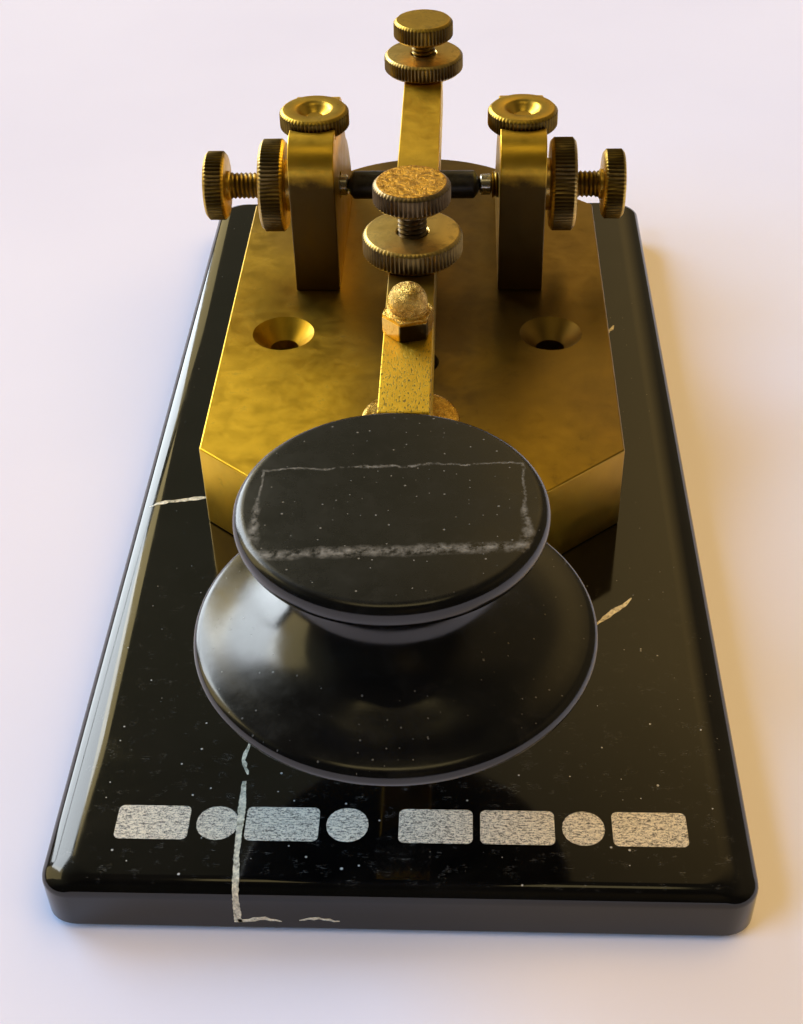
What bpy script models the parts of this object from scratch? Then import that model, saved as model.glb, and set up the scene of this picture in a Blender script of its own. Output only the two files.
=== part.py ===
"""A straight Morse key on a marble slab: brass plate, posts and lever, black knob.

Metres, +Z up. The knob is at -Y and the gap screw at +Y. The origin is the
centre of the underside, so the object stands on Z = 0.
"""

import math

import bpy

MM = 0.001

# The slab and what stands on it
SLAB_WIDTH, SLAB_LENGTH, SLAB_TOP, SLAB_BOTTOM = 80.0, 160.0, 8.0, 0.85
SLAB_EDGE = 2.0
PAD_RADIUS, PAD_HEIGHT = 5.0, 0.8
PLATE_TOP, PLATE_BOTTOM = 21.0, 8.05
PLATE_HALF_WIDTH = 29.0
PLATE_SIDE_FRONT, PLATE_SIDE_REAR = -17.0, 53.0
PLATE_END_SLOPE = math.radians(40.0)
PLATE_END_RADIUS = 21.9
EMPTY_HOLE_X, EMPTY_HOLE_Y = 20.2, 12.1

# The pivot
PIVOT_Y, PIVOT_Z = 35.0, 33.8
POST_X, POST_WIDTH, POST_TOP, POST_SEAT = 15.85, 6.9, 45.1, 43.3
AXLE_SHIFT, AXLE_HALF, AXLE_RADIUS = -0.85, 9.4, 2.15
THREAD, BORE = 2.05, 2.12

# The lever, from the knob at the front to the gap screw at the rear
LEVER_WIDTH, LEVER_TOP, LEVER_BOTTOM = 6.35, 39.0, 29.5
TOE_TOP, TOE_BOTTOM = 30.4, 25.4
KNOB_Y, CONTACT_Y, SPRING_Y, GAP_Y = -62.7, -15.5, 4.2, 67.1
LEVER_REAR = 72.6

# The contacts and the spring
ANVIL_TOP, ANVIL_BOTTOM = 25.3, 21.65
CONTACT_GAP = 0.8
TIP_HEIGHT = 0.7
SPRING_BOTTOM, SPRING_TOP = 17.05, 26.45
SPRING_RADIUS, SPRING_WIRE, SPRING_TURNS = 2.3, 0.32, 6

CUT = "cut"


def clear_scene():
    for old in list(bpy.data.objects):
        bpy.data.objects.remove(old, do_unlink=True)


def collection(name):
    made = bpy.data.collections.new(name)
    bpy.context.scene.collection.children.link(made)
    return made


def material(name, colour, metallic, roughness):
    made = bpy.data.materials.new(name)
    made.use_nodes = True
    shader = made.node_tree.nodes["Principled BSDF"]
    shader.inputs["Base Color"].default_value = (*colour, 1.0)
    shader.inputs["Metallic"].default_value = metallic
    shader.inputs["Roughness"].default_value = roughness
    return made


def link(obj, look):
    """Puts a part in the key's collection, or a cutter in the cutters' one."""
    if look is CUT:
        CUTTERS.objects.link(obj)
        obj.hide_render = True
        obj.display_type = "WIRE"
        return obj
    KEY.objects.link(obj)
    obj.data.materials.append(material(obj.name, *look))
    return obj


def turned(name, look, profile, at, steps=24, along="Z", loop=False):
    """A turned piece: (radius, height) points down its outer side, about Z or X."""
    mesh = bpy.data.meshes.new(name)
    points = [(radius * MM, 0.0, height * MM) for radius, height in profile]
    edges = [(i, i + 1) for i in range(len(points) - 1)]
    if loop:
        edges.append((len(points) - 1, 0))
    mesh.from_pydata(points, edges, [])
    obj = bpy.data.objects.new(name, mesh)
    screw = obj.modifiers.new("Turn", "SCREW")
    screw.steps = screw.render_steps = steps
    screw.use_merge_vertices = True
    screw.merge_threshold = 1e-6
    screw.use_smooth_shade = False
    obj.location = [value * MM for value in at]
    if along == "X":
        obj.rotation_euler = (0.0, math.radians(90.0), 0.0)
    elif along == "-X":
        obj.rotation_euler = (0.0, math.radians(-90.0), 0.0)
    link(obj, look)
    if look is not CUT:
        soften(obj)
    return obj


def soften(obj):
    """Makes the modifiers real, then shades the round faces smooth."""
    bpy.context.view_layer.update()
    graph = bpy.context.evaluated_depsgraph_get()
    mesh = bpy.data.meshes.new_from_object(obj.evaluated_get(graph))
    obj.modifiers.clear()
    obj.data = mesh
    mesh.shade_smooth()
    mesh.set_sharp_from_angle(angle=math.radians(35.0))


def slab(name, look, outline, depth, at, turn=(0.0, 0.0, 0.0), edge=0.0):
    """A flat outline given a thickness, centred on its own plane."""
    curve = bpy.data.curves.new(name, "CURVE")
    curve.dimensions = "2D"
    curve.fill_mode = "BOTH"
    curve.extrude = depth * MM / 2
    spline = curve.splines.new("POLY")
    spline.points.add(len(outline) - 1)
    for point, (x, y) in zip(spline.points, outline):
        point.co = (x * MM, y * MM, 0.0, 1.0)
    spline.use_cyclic_u = True
    flat = bpy.data.objects.new(name + "_outline", curve)
    bpy.context.scene.collection.objects.link(flat)
    bpy.context.view_layer.update()
    graph = bpy.context.evaluated_depsgraph_get()
    mesh = bpy.data.meshes.new_from_object(flat.evaluated_get(graph))
    bpy.data.objects.remove(flat)
    mesh.name = name
    obj = bpy.data.objects.new(name, mesh)
    obj.location = [value * MM for value in at]
    obj.rotation_euler = [math.radians(value) for value in turn]
    link(obj, look)
    weld = obj.modifiers.new("Weld", "WELD")
    weld.merge_threshold = 1e-6
    if edge:
        bevel = obj.modifiers.new("Edge", "BEVEL")
        bevel.width = edge * MM
        bevel.segments = 1
        bevel.limit_method = "ANGLE"
        bevel.angle_limit = math.radians(50.0)
    return obj


def rod(name, radius, start, end, along="Z", steps=20):
    """A round cutter between two points that differ along one axis."""
    axis = "XYZ".index(along)
    length = end[axis] - start[axis]
    profile = [(0.0, length), (radius, length), (radius, 0.0), (0.0, 0.0)]
    return turned(name, CUT, profile, start, steps, along)


def stepped_hole(name, at, sizes, steps=20):
    """A round cutter made of bores on one another: (radius, bottom, top), top first."""
    profile = [(0.0, sizes[0][2])]
    for radius, bottom, top in sizes:
        profile += [(radius, top), (radius, bottom)]
    profile.append((0.0, sizes[-1][1]))
    return turned(name, CUT, profile, (*at, 0.0), steps)


def cut(obj, cutters, operation="DIFFERENCE"):
    for cutter in cutters:
        step = obj.modifiers.new(cutter.name, "BOOLEAN")
        step.operation = operation
        step.solver = "EXACT"
        step.object = cutter
    soften(obj)
    return obj


def arc(centre, radius, start, end, count):
    """Points on an arc, from one angle in degrees to another."""
    return [
        (
            centre[0] + radius * math.cos(math.radians(start + (end - start) * i / count)),
            centre[1] + radius * math.sin(math.radians(start + (end - start) * i / count)),
        )
        for i in range(count + 1)
    ]


def rounded_rectangle(half_x, half_y, radius, count=3):
    corners = ((1, 1, 0), (-1, 1, 90), (-1, -1, 180), (1, -1, 270))
    points = []
    for sx, sy, start in corners:
        centre = (sx * (half_x - radius), sy * (half_y - radius))
        points += arc(centre, radius, start, start + 90, count)
    return points


def plate_outline():
    """Straight sides, slanted corners, and a round end that meets both slants."""
    slope = math.degrees(PLATE_END_SLOPE)
    rise = PLATE_HALF_WIDTH * math.tan(PLATE_END_SLOPE)
    inset = PLATE_END_RADIUS / math.cos(PLATE_END_SLOPE)
    rear = (0.0, PLATE_SIDE_REAR + rise - inset)
    front = (0.0, PLATE_SIDE_FRONT - rise + inset)
    points = [(PLATE_HALF_WIDTH, PLATE_SIDE_FRONT), (PLATE_HALF_WIDTH, PLATE_SIDE_REAR)]
    points += arc(rear, PLATE_END_RADIUS, 90 - slope, 90 + slope, 12)
    points += [(-PLATE_HALF_WIDTH, PLATE_SIDE_REAR), (-PLATE_HALF_WIDTH, PLATE_SIDE_FRONT)]
    points += arc(front, PLATE_END_RADIUS, 270 - slope, 270 + slope, 12)
    return points


def thumb_profile(radius, top, bottom, chamfer=0.45):
    """The outer side of a knurled head, without its knurls."""
    return [
        (radius - chamfer, top),
        (radius, top - chamfer),
        (radius, bottom + chamfer),
        (radius - chamfer, bottom),
    ]


def head_and_shank(name, radius, top, bottom, shank, at, along="Z", tail=()):
    """A knurled head on a plain shank, in heights from its own origin."""
    profile = [(0.0, top)] + thumb_profile(radius, top, bottom)
    profile += [(THREAD, bottom), (THREAD, shank + 0.3)]
    profile += list(tail) or [(THREAD - 0.3, shank), (0.0, shank)]
    return turned(name, BRASS_DARK, profile, at, 24, along)


def lock_nut(name, radius, top, bottom, at, along="Z", collar=0.0):
    profile = [(BORE, top)] + thumb_profile(radius, top, bottom)
    if collar:
        profile += [(4.0, bottom), (4.0, bottom - collar), (BORE, bottom - collar)]
    else:
        profile += [(BORE, bottom)]
    return turned(name, BRASS_DARK, profile, at, 24, along, loop=True)


def cap_screw(name, at, head_radius, head, shank_radius, shank):
    """A plain screw whose head is down: `head` and `shank` are heights."""
    profile = [
        (0.0, shank),
        (shank_radius, shank),
        (shank_radius, head),
        (head_radius, head),
        (head_radius, 0.0),
        (0.0, 0.0),
    ]
    obj = turned(name, STEEL, profile, at, 16)
    x, y, z = at
    groove = slab(
        name + "_groove",
        CUT,
        [(-head_radius - 1, -0.5), (head_radius + 1, -0.5), (head_radius + 1, 0.5), (-head_radius - 1, 0.5)],
        1.6,
        (x, y, z),
    )
    return cut(obj, [groove])


clear_scene()
KEY = collection("morse_key")
CUTTERS = collection("cutters")

MARBLE = ((0.012, 0.011, 0.010), 0.0, 0.12)
RUBBER = ((0.03, 0.03, 0.03), 0.0, 0.9)
BRASS = ((0.62, 0.42, 0.11), 1.0, 0.34)
BRASS_DARK = ((0.42, 0.30, 0.11), 1.0, 0.42)
STEEL = ((0.60, 0.60, 0.60), 1.0, 0.3)
BLACKENED = ((0.02, 0.02, 0.02), 0.6, 0.35)
BAKELITE = ((0.012, 0.012, 0.012), 0.0, 0.25)
SILVER = ((0.85, 0.85, 0.82), 1.0, 0.25)
FIBRE = ((0.05, 0.03, 0.02), 0.0, 0.6)

# ---- the slab, its pads, and the screws that come up through it
marble = slab(
    "marble_base",
    MARBLE,
    rounded_rectangle(SLAB_WIDTH / 2, SLAB_LENGTH / 2, SLAB_EDGE),
    SLAB_TOP - SLAB_BOTTOM,
    (0.0, 0.0, (SLAB_TOP + SLAB_BOTTOM) / 2),
)
rounding = marble.modifiers.new("Rounded top", "BEVEL")
rounding.width = SLAB_EDGE * MM
rounding.segments = 3
rounding.limit_method = "ANGLE"
rounding.angle_limit = math.radians(60.0)
PLATE_SCREW_YS = (("front", -26.0), ("rear", 14.0))
marble_cutters = []
for side, y in PLATE_SCREW_YS:
    bores = ((2.4, 4.2, 10.0), (4.6, -1.0, 4.2))
    marble_cutters.append(stepped_hole(f"marble_hole_{side}", (0, y), bores))
cut(marble, marble_cutters)
for end, y in (("front", -69.0), ("rear", 69.0)):
    for side, x in (("left", -31.0), ("right", 31.0)):
        turned(
            f"pad_{end}_{side}",
            RUBBER,
            [(0, PAD_HEIGHT), (PAD_RADIUS, PAD_HEIGHT), (PAD_RADIUS, 0), (0, 0)],
            (x, y, 0),
            20,
        )
for side, y in PLATE_SCREW_YS:
    cap_screw(f"plate_screw_{side}", (0, y, 1.4), 4.0, 2.7, THREAD, 13.2)

# ---- the brass plate
plate = slab(
    "base_plate",
    BRASS,
    plate_outline(),
    PLATE_TOP - PLATE_BOTTOM,
    (0, 0, (PLATE_TOP + PLATE_BOTTOM) / 2),
    edge=0.35,
)
plate_cutters = []
POST_SCREW_YS = (("front", 29.0), ("rear", 51.0))
for side, x in (("left", -1), ("right", 1)):
    at = (x * EMPTY_HOLE_X, EMPTY_HOLE_Y)
    plate_cutters.append(
        turned(
            f"empty_hole_{side}",
            CUT,
            [(0, 14), (5.15, 14), (5.15, 13.5), (2.15, 10.35), (2.15, -1), (0, -1)],
            (*at, PLATE_BOTTOM),
            28,
        )
    )
    for end, y in POST_SCREW_YS:
        px = x * POST_X
        bores = ((2.3, 12.3, 22.0), (3.9, 7.0, 12.3))
        plate_cutters.append(stepped_hole(f"post_hole_{side}_{end}", (px, y), bores))
for side, y in PLATE_SCREW_YS:
    plate_cutters.append(rod(f"plate_thread_{side}", BORE, (0, y, 7), (0, y, 15.0)))
bores = ((3.55, 13.25, 22.0), (6.5, 7.0, 13.25))
plate_cutters.append(stepped_hole("anvil_hole", (0, CONTACT_Y), bores))
plate_cutters.append(rod("spring_pocket", 3.5, (0, SPRING_Y, 17.0), (0, SPRING_Y, 22)))
cut(plate, plate_cutters)

# ---- the posts, with the screws that hold them and those that they hold
post_side = (
    [(24.4, PLATE_TOP + 0.05), (58.0, PLATE_TOP + 0.05), (57.5, 23.0), (56.5, 26.0)]
    + [(55.0, 28.7), (53.3, 31.2), (51.1, 33.7), (48.5, 35.6), (47.0, 37.6), (46.3, 40.1)]
    + arc((41.3, POST_TOP - 5), 5.0, 20, 90, 4)
    + arc((29.5, POST_TOP - 5), 5.0, 90, 180, 5)
)
for side, x in (("left", -1), ("right", 1)):
    px = x * POST_X
    post = slab(f"post_{side}", BRASS, post_side, POST_WIDTH, (px, 0, 0), (90, 0, 90))
    holes = [
        stepped_hole(
            f"post_seat_{side}",
            (px, PIVOT_Y),
            ((5.65, POST_SEAT, 50.0), (BORE, PIVOT_Z + 1.3, POST_SEAT)),
            24,
        ),
        rod(
            f"post_pivot_{side}",
            BORE,
            (px - 8, PIVOT_Y, PIVOT_Z),
            (px + 8, PIVOT_Y, PIVOT_Z),
            "X",
        ),
    ]
    for end, y in POST_SCREW_YS:
        holes.append(rod(f"post_thread_{side}_{end}", BORE, (px, y, 20), (px, y, 28)))
    cut(post, holes)
    for end, y in POST_SCREW_YS:
        cap_screw(f"post_screw_{side}_{end}", (px, y, 8.9), 3.5, 3.3, THREAD, 18.0)

    # The clamp screw's top is dished round a small flat.
    clamp = [(0.0, 2.1), (1.0, 2.1), (1.3, 1.7), (2.5, 3.1)]
    clamp += thumb_profile(5.3, 3.1, 0.0)
    clamp += [(THREAD, 0.0), (THREAD, -6.6), (0.9, -7.2), (0.0, -7.2)]
    turned(f"clamp_screw_{side}", BRASS_DARK, clamp, (px, PIVOT_Y, POST_SEAT + 0.05))

# ---- the trunnion screws: the left one stands further out
CUP_FACE = 10.35
TRUNNION = (("left", "-X", -1, 20.85, 1.45), ("right", "X", 1, 20.4, 1.0))
for side, along, sign, nut_start, collar in TRUNNION:
    pivot = (AXLE_SHIFT, PIVOT_Y, PIVOT_Z)
    screw = [(0.0, 22.4)] + thumb_profile(5.3, 22.4, 19.1)
    screw += [(THREAD, 19.1), (THREAD, 1.85), (0.95, 1.85), (0.95, 4.4), (0.0, 4.4)]
    at = (AXLE_SHIFT + sign * CUP_FACE, PIVOT_Y, PIVOT_Z)
    turned(f"trunnion_screw_{side}", BRASS_DARK, screw, at, 24, along)
    cup = [(0.0, 4.3), (0.85, 4.3), (0.85, 1.8), (1.6, 1.8), (1.6, 0.0), (1.25, 0.0)]
    cup += [(0.2, 1.2), (0.0, 1.2)]
    turned(f"pivot_cup_{side}", STEEL, cup, at, 16, along)
    nut_at = (sign * nut_start, PIVOT_Y, PIVOT_Z)
    lock_nut(f"trunnion_locknut_{side}", 7.1, 3.95, 0.0, nut_at, along, collar)

# ---- the lever and what rides on it
axle_side = [(0.0, AXLE_HALF + 1.65), (0.2, AXLE_HALF + 1.6), (0.95, AXLE_HALF + 0.75)]
axle_side += [(1.2, AXLE_HALF + 0.7), (AXLE_RADIUS, AXLE_HALF), (AXLE_RADIUS, -AXLE_HALF)]
axle_side += [(radius, -height) for radius, height in reversed(axle_side[:4])]
turned("axle", BLACKENED, axle_side, (AXLE_SHIFT, PIVOT_Y, PIVOT_Z), 20, "X")

toe = arc((KNOB_Y - 5.2, TOE_TOP - 0.6), 0.6, 90, 180, 2)
heel = arc((LEVER_REAR - 0.6, LEVER_TOP - 0.6), 0.6, 0, 90, 2)
lever_side = (
    [(-33.6, LEVER_TOP), (-40.0, TOE_TOP)]
    + toe
    + [(KNOB_Y - 5.8, TOE_BOTTOM), (-38.7, TOE_BOTTOM), (-34.7, LEVER_BOTTOM)]
    + [(LEVER_REAR, LEVER_BOTTOM)]
    + heel
)
lever = slab("lever", BRASS, lever_side, LEVER_WIDTH, (0, 0, 0), (90, 0, 90), edge=0.25)
lever_cutters = [
    rod("axle_hole", 2.2, (-5, PIVOT_Y, PIVOT_Z), (5, PIVOT_Y, PIVOT_Z), "X"),
    rod("knob_hole", BORE, (0, KNOB_Y, 20), (0, KNOB_Y, 34)),
    rod("contact_hole", BORE, (0, CONTACT_Y, 26), (0, CONTACT_Y, 44)),
    rod("spring_hole", BORE, (0, SPRING_Y, 26), (0, SPRING_Y, 44)),
    rod("gap_hole", BORE, (0, GAP_Y, 26), (0, GAP_Y, 44)),
]
cut(lever, lever_cutters)

knob_side = [(0.0, 48.9), (14.8, 48.9), (15.85, 48.0), (15.85, 46.9), (14.5, 45.8)]
knob_side += [(12.4, 44.9), (10.5, 43.5), (9.5, 41.7), (9.3, 39.9), (9.9, 38.0)]
knob_side += [(11.5, 36.2), (14.0, 34.6), (17.0, 33.5), (20.3, 32.8), (21.55, 32.0)]
knob_side += [(21.55, 31.3), (20.6, 30.45), (BORE, 30.45), (BORE, 41.0), (0.0, 41.0)]
turned("knob", BAKELITE, knob_side, (0, KNOB_Y, 0), 32)
cap_screw("knob_screw", (0, KNOB_Y, 22.8), 3.5, 2.55, THREAD, 17.4)

# ---- the contacts
stud_foot = ANVIL_TOP + 2 * TIP_HEIGHT + CONTACT_GAP + 0.05
stud = [(0.0, 44.0), (1.6, 44.0), (2.0, 43.6), (2.0, stud_foot), (0.75, stud_foot)]
stud += [(0.75, stud_foot + 1.3), (0.0, stud_foot + 1.3)]
turned("contact_stud", BRASS_DARK, stud, (0, CONTACT_Y, 0), 16)
tip = [(0.0, 1.15), (0.65, 1.15), (0.65, 0.0), (1.6, 0.0), (1.6, -0.5), (1.4, -TIP_HEIGHT)]
turned("contact_tip_upper", SILVER, tip + [(0.0, -TIP_HEIGHT)], (0, CONTACT_Y, stud_foot - 0.05), 12)
lower_tip = [(0.0, TIP_HEIGHT), (1.4, TIP_HEIGHT), (1.6, 0.5), (1.6, 0.0), (0.65, 0.0)]
turned(
    "contact_tip_lower",
    SILVER,
    lower_tip + [(0.65, -1.15), (0.0, -1.15)],
    (0, CONTACT_Y, ANVIL_TOP + 0.05),
    12,
)

# The domed nut: a hexagon, a waist and a dome in one piece, with a blind hole.
hexagon = [
    (3.35 * math.cos(math.radians(15 + 60 * i)), 3.35 * math.sin(math.radians(15 + 60 * i)))
    for i in range(6)
]
acorn = slab(
    "contact_acorn_nut", BRASS, hexagon, 2.9, (0, CONTACT_Y, LEVER_TOP + 0.05 + 1.45), edge=0.2
)
dome = turned(
    "acorn_dome",
    CUT,
    [(0.0, 6.75)] + [(x, y + 4.2) for x, y in reversed(arc((0, 0), 2.55, 0, 80, 4))]
    + [(2.55, 3.2), (3.0, 2.7), (3.0, 1.5), (0.0, 1.5)],
    (0, CONTACT_Y, LEVER_TOP),
    20,
)
cut(acorn, [dome], "UNION")
cut(acorn, [rod("acorn_thread", BORE, (0, CONTACT_Y, 38), (0, CONTACT_Y, 44.2))])

anvil = [(0.0, ANVIL_TOP), (6.3, ANVIL_TOP), (6.7, ANVIL_TOP - 0.4), (6.7, ANVIL_BOTTOM)]
anvil += [(2.0, ANVIL_BOTTOM), (2.0, 9.4), (0.0, 9.4)]
fixed = turned("fixed_contact", BRASS, anvil, (0, CONTACT_Y, 0), 28)
cut(fixed, [rod("tip_hole", 0.75, (0, CONTACT_Y, 24.0), (0, CONTACT_Y, 26.0), steps=12)])
bush = [(2.1, 21.6), (6.7, 21.6), (6.7, 21.05), (3.4, 21.05), (3.4, 13.3), (2.1, 13.3)]
turned("contact_bush", FIBRE, bush, (0, CONTACT_Y, 0), 20, loop=True)
washer = [(2.1, 13.15), (6.0, 13.15), (6.0, 12.55), (2.1, 12.55)]
turned("contact_washer", FIBRE, washer, (0, CONTACT_Y, 0), 20, loop=True)
nut = slab(
    "contact_nut",
    BRASS_DARK,
    [(4.0 * math.cos(math.radians(60 * i)), 4.0 * math.sin(math.radians(60 * i))) for i in range(6)],
    2.4,
    (0, CONTACT_Y, 11.3),
    edge=0.2,
)
cut(nut, [rod("nut_thread", 2.08, (0, CONTACT_Y, 9), (0, CONTACT_Y, 14))])

# ---- the spring screw, the gap screw, and the return spring
pip = [(THREAD - 0.3, -20.0), (1.3, -20.0), (1.3, -22.4), (1.0, -22.8), (0.0, -22.8)]
head_and_shank("spring_screw", 5.3, 3.2, 0.0, -20.0, (0, SPRING_Y, 46.6), tail=pip)
lock_nut("spring_locknut", 6.9, 3.35, 0.0, (0, SPRING_Y, LEVER_TOP + 0.05))
point = [(1.5, -22.9), (0.8, -23.4), (0.0, -23.5)]
head_and_shank("gap_screw", 5.0, 3.15, 0.0, -22.4, (0, GAP_Y, 44.6), tail=point)
lock_nut("gap_locknut", 6.7, 3.0, 0.0, (0, GAP_Y, LEVER_TOP + 0.05))


def coil(name, look):
    """An open coil whose first and last turns lie nearly flat."""
    per_turn = 12
    count = SPRING_TURNS * per_turn
    low = SPRING_BOTTOM + SPRING_WIRE
    high = SPRING_TOP - SPRING_WIRE
    flat = 2.1 * SPRING_WIRE
    curve = bpy.data.curves.new(name, "CURVE")
    curve.dimensions = "3D"
    curve.bevel_depth = SPRING_WIRE * MM
    curve.bevel_resolution = 2
    curve.use_fill_caps = True
    spline = curve.splines.new("POLY")
    spline.points.add(count)
    for i, point in enumerate(spline.points):
        turns = i / per_turn
        if turns <= 1:
            height = low + flat * turns
        elif turns >= SPRING_TURNS - 1:
            height = high - flat * (SPRING_TURNS - turns)
        else:
            share = (turns - 1) / (SPRING_TURNS - 2)
            height = low + flat + (high - low - 2 * flat) * share
        angle = 2 * math.pi * turns
        x, y = SPRING_RADIUS * math.cos(angle), SPRING_RADIUS * math.sin(angle)
        point.co = (x * MM, y * MM, height * MM, 1.0)
    wire = bpy.data.objects.new(name + "_wire", curve)
    bpy.context.scene.collection.objects.link(wire)
    bpy.context.view_layer.update()
    graph = bpy.context.evaluated_depsgraph_get()
    mesh = bpy.data.meshes.new_from_object(wire.evaluated_get(graph))
    bpy.data.objects.remove(wire)
    obj = bpy.data.objects.new(name, mesh)
    obj.location = (0.0, SPRING_Y * MM, 0.0)
    link(obj, look)
    weld = obj.modifiers.new("Weld", "WELD")
    weld.merge_threshold = 1e-6
    soften(obj)
    return obj


coil("return_spring", STEEL)
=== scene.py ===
"""The looks of the Morse key: its finished pieces, materials, light and camera."""

import math
import random

import bpy
from mathutils import Matrix, Vector


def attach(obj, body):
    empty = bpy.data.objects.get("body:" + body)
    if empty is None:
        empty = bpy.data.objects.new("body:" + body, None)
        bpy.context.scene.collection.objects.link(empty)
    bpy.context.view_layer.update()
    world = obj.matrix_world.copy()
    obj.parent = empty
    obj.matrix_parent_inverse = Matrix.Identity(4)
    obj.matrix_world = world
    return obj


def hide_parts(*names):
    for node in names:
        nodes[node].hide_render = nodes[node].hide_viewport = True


MM = 0.001
TAU = 2 * math.pi

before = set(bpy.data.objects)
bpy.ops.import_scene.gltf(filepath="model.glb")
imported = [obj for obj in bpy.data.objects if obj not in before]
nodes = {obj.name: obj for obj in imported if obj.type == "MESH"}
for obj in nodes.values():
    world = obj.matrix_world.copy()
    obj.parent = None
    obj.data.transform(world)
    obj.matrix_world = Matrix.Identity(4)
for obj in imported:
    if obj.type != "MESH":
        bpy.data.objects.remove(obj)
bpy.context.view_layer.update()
random.seed(7)

# The frame's own sizes, in millimetres
SLAB_TOP, SLAB_BOTTOM, SLAB_X, SLAB_Y, SLAB_EDGE = 8.0, 0.85, 40.0, 80.0, 2.0
PLATE_TOP, PLATE_BOTTOM = 21.0, 8.05
PIVOT_Y, PIVOT_Z, POST_X, POST_WIDTH = 35.0, 33.8, 15.85, 6.9
LEVER_TOP, LEVER_BOTTOM, LEVER_WIDTH = 39.0, 29.5, 6.35
KNOB_Y, CONTACT_Y, SPRING_Y, GAP_Y = -62.7, -15.5, 4.2, 67.1
KNOB_TOP, KNOB_UNDER = 48.9, 30.45
FOOT_SCREWS, POST_SCREWS = (-26.0, 14.0), (29.0, 51.0)
TERMINAL_X, TERMINAL_Y = 20.2, 12.1
SPRING_HEAD, ACORN_FLATS_TOP = 3.2, 41.5
BORE, WIDE_BORE = 2.12, 2.3

# Knurling and threads, and how dark the painted shade in them is on their high parts (dirt as well
# on the knurls)
KNURL_PITCH, KNURL_DEPTH, KNURL_DIRT_AND_SHADE = 0.62, 0.2, 0.78
THREAD_PITCH, THREAD_DEPTH, THREAD_RADIUS, THREAD_SHADE = 0.7, 0.3, 2.05, 0.55
THREAD_ROWS, THREAD_SIDES = 6, 36


# ------------------------------------------------------------------ shapes
class Shape:
    """Closed shells gathered into one mesh, in millimetres."""

    def __init__(self):
        self.points, self.faces, self.groove = [], [], []

    def add(self, points, faces, groove=None):
        base = len(self.points)
        self.points += points
        self.faces += [tuple(base + i for i in face) for face in faces]
        self.groove += groove or [0.0] * len(points)
        return self

    def rings(self, rings, wave):
        """Joins rings of (radius, height, depth of the wave), top to bottom.

        A ring of no radius is a point on the axis. A profile that starts and
        ends off the axis closes on itself.
        """
        count = len(wave)
        points, faces, groove, starts = [], [], [], []
        for radius, height, depth in rings:
            starts.append(len(points))
            if radius == 0:
                points.append((0.0, 0.0, height))
                groove.append(0.0)
                continue
            for j in range(count):
                angle = TAU * j / count
                r = radius - depth * wave[j]
                points.append((r * math.cos(angle), r * math.sin(angle), height))
                # Painted shade and dirt: the knurl is darkened, most of all in its grooves.
                dirt_and_shade = KNURL_DIRT_AND_SHADE + (1 - KNURL_DIRT_AND_SHADE) * wave[j]
                groove.append(dirt_and_shade * depth / KNURL_DEPTH)
        for i in range(len(rings) - 1):
            a, b = starts[i], starts[i + 1]
            for j in range(count):
                k = (j + 1) % count
                if rings[i][0] == 0:
                    faces.append((a, b + j, b + k))
                elif rings[i + 1][0] == 0:
                    faces.append((a + j, b, a + k))
                else:
                    faces.append((a + j, b + j, b + k, a + k))
        if rings[0][0] and rings[-1][0] and rings[0] != rings[-1]:
            a, b = starts[-1], starts[0]
            for j in range(count):
                k = (j + 1) % count
                faces.append((a + j, b + j, b + k, a + k))
        return self.add(points, faces, groove)

    def turn(self, profile, count=96):
        """A plain turned shell from (radius, height) down its outer side."""
        return self.rings([(r, z, 0.0) for r, z in profile], [0.0] * count)

    def knurled(self, radius, top, bottom, bore, dish=(), chamfer=0.5):
        """A knurled disc. `dish` is what its top does inside the rim."""
        ridges = round(TAU * radius / KNURL_PITCH)
        wave = [0.0, 0.55, 1.0, 0.55] * ridges
        inner, ease, soft = radius - chamfer, 0.12, 0.04
        rings = [(r, z, 0.0) for r, z in dish] or [(bore, top, 0.0)]
        rings += [
            (inner - 0.15, top, 0.0),
            (inner, top - soft, 0.0),
            (radius - ease, top - chamfer + ease, KNURL_DEPTH * 0.5),
            (radius, top - chamfer, KNURL_DEPTH),
            (radius, bottom + chamfer, KNURL_DEPTH),
            (radius - ease, bottom + chamfer - ease, KNURL_DEPTH * 0.5),
            (inner, bottom + soft, 0.0),
            (inner - 0.15, bottom, 0.0),
            (bore, bottom, 0.0),
        ]
        return self.rings(rings, wave)

    def thread(self, radius, top, bottom):
        """A threaded rod, with one groove that winds down it and fades at its ends."""
        count = THREAD_SIDES
        steps = max(2, round((top - bottom) / THREAD_PITCH * THREAD_ROWS))
        points, faces, groove = [(0.0, 0.0, top)], [], [0.0]
        for i in range(steps + 1):
            z = top + (bottom - top) * i / steps
            fade = min(1.0, i / 3, (steps - i) / 3)
            for j in range(count):
                turn = (z / THREAD_PITCH - j / count) % 1.0
                deep = (1 - abs(2 * turn - 1)) * fade
                r = radius - THREAD_DEPTH * deep
                angle = TAU * j / count
                points.append((r * math.cos(angle), r * math.sin(angle), z))
                # Painted shade: the thread is darkened, most of all in its groove.
                groove.append(THREAD_SHADE + (1 - THREAD_SHADE) * deep)
        last = 1 + (steps + 1) * count
        points.append((0.0, 0.0, bottom))
        groove.append(0.0)
        for j in range(count):
            k = (j + 1) % count
            faces.append((0, 1 + j, 1 + k))
            for i in range(steps):
                a, b = 1 + i * count, 1 + (i + 1) * count
                faces.append((a + j, b + j, b + k, a + k))
            a = 1 + steps * count
            faces.append((a + j, last, a + k))
        return self.add(points, faces, groove)


def smooth_line(points, parts=6):
    """A Catmull-Rom line through the points."""
    line = []
    for i in range(len(points) - 1):
        a, b = Vector(points[i]), Vector(points[i + 1])
        before = Vector(points[i - 1]) if i else a
        after = Vector(points[i + 2]) if i + 2 < len(points) else b
        for step in range(parts):
            t = step / parts
            point = 0.5 * (
                2 * a
                + (b - before) * t
                + (2 * before - 5 * a + 4 * b - after) * t**2
                + (3 * a - before - 3 * b + after) * t**3
            )
            line.append(tuple(point))
    line.append(tuple(points[-1]))
    return line


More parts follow.
